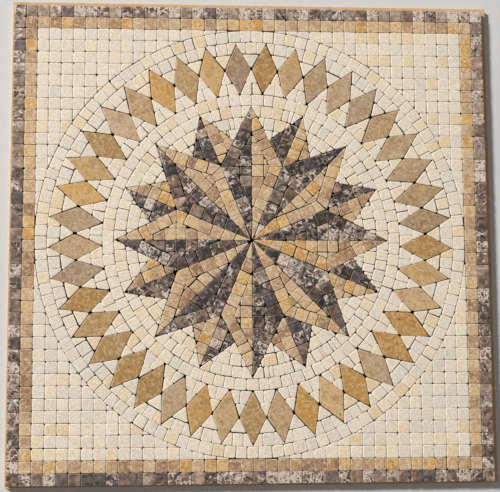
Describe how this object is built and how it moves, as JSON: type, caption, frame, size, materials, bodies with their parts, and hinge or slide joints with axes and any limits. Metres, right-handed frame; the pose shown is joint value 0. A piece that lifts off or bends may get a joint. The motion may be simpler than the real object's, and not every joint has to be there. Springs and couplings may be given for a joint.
{
  "type": "mosaic panel",
  "caption": "Square stone mosaic panel on a thin board, with a compass star inside rings of cream tiles and gold diamonds and a two-row border.",
  "frame": {"origin": "centre of the board's underside, the face the panel lies on", "axes": "+Z out of the tiled face, +Y towards the top of the picture and +X towards its right, as in the picture"},
  "size_m": [0.6096, 0.6096, 0.018],
  "materials": {
    "board": "matte",
    "bedding": "matte",
    "dark_stone": "matte",
    "gold_stone": "matte",
    "cream_stone": "matte",
    "diamond_stone": "matte"
  },
  "bodies": {
    "root": {"backing_board": "board", "adhesive_bed": "bedding", "dark_border_top": "dark_stone", "gold_border_top": "gold_stone", "dark_border_right": "dark_stone", "gold_border_right": "gold_stone", "dark_border_bottom": "dark_stone", "gold_border_bottom": "gold_stone", "dark_border_left": "dark_stone", "gold_border_left": "gold_stone", "corner_field_top_right": "cream_stone", "corner_field_bottom_right": "cream_stone", "corner_field_bottom_left": "cream_stone", "corner_field_top_left": "cream_stone", "outer_ring": "cream_stone", "diamond_band": "diamond_stone", "star_surround": "cream_stone", "front_point_1_dark": "dark_stone", "rear_point_1_dark": "dark_stone", "front_point_1_gold": "gold_stone", "rear_point_1_gold": "gold_stone", "front_point_2_dark": "dark_stone", "rear_point_2_dark": "dark_stone", "front_point_2_gold": "gold_stone", "rear_point_2_gold": "gold_stone", "front_point_3_dark": "dark_stone", "rear_point_3_dark": "dark_stone", "front_point_3_gold": "gold_stone", "rear_point_3_gold": "gold_stone", "front_point_4_dark": "dark_stone", "rear_point_4_dark": "dark_stone", "front_point_4_gold": "gold_stone", "rear_point_4_gold": "gold_stone", "front_point_5_dark": "dark_stone", "rear_point_5_dark": "dark_stone", "front_point_5_gold": "gold_stone", "rear_point_5_gold": "gold_stone", "front_point_6_dark": "dark_stone", "rear_point_6_dark": "dark_stone", "front_point_6_gold": "gold_stone", "rear_point_6_gold": "gold_stone", "front_point_7_dark": "dark_stone", "rear_point_7_dark": "dark_stone", "front_point_7_gold": "gold_stone", "rear_point_7_gold": "gold_stone", "front_point_8_dark": "dark_stone", "rear_point_8_dark": "dark_stone", "front_point_8_gold": "gold_stone", "rear_point_8_gold": "gold_stone"}
  },
  "joints": []
}
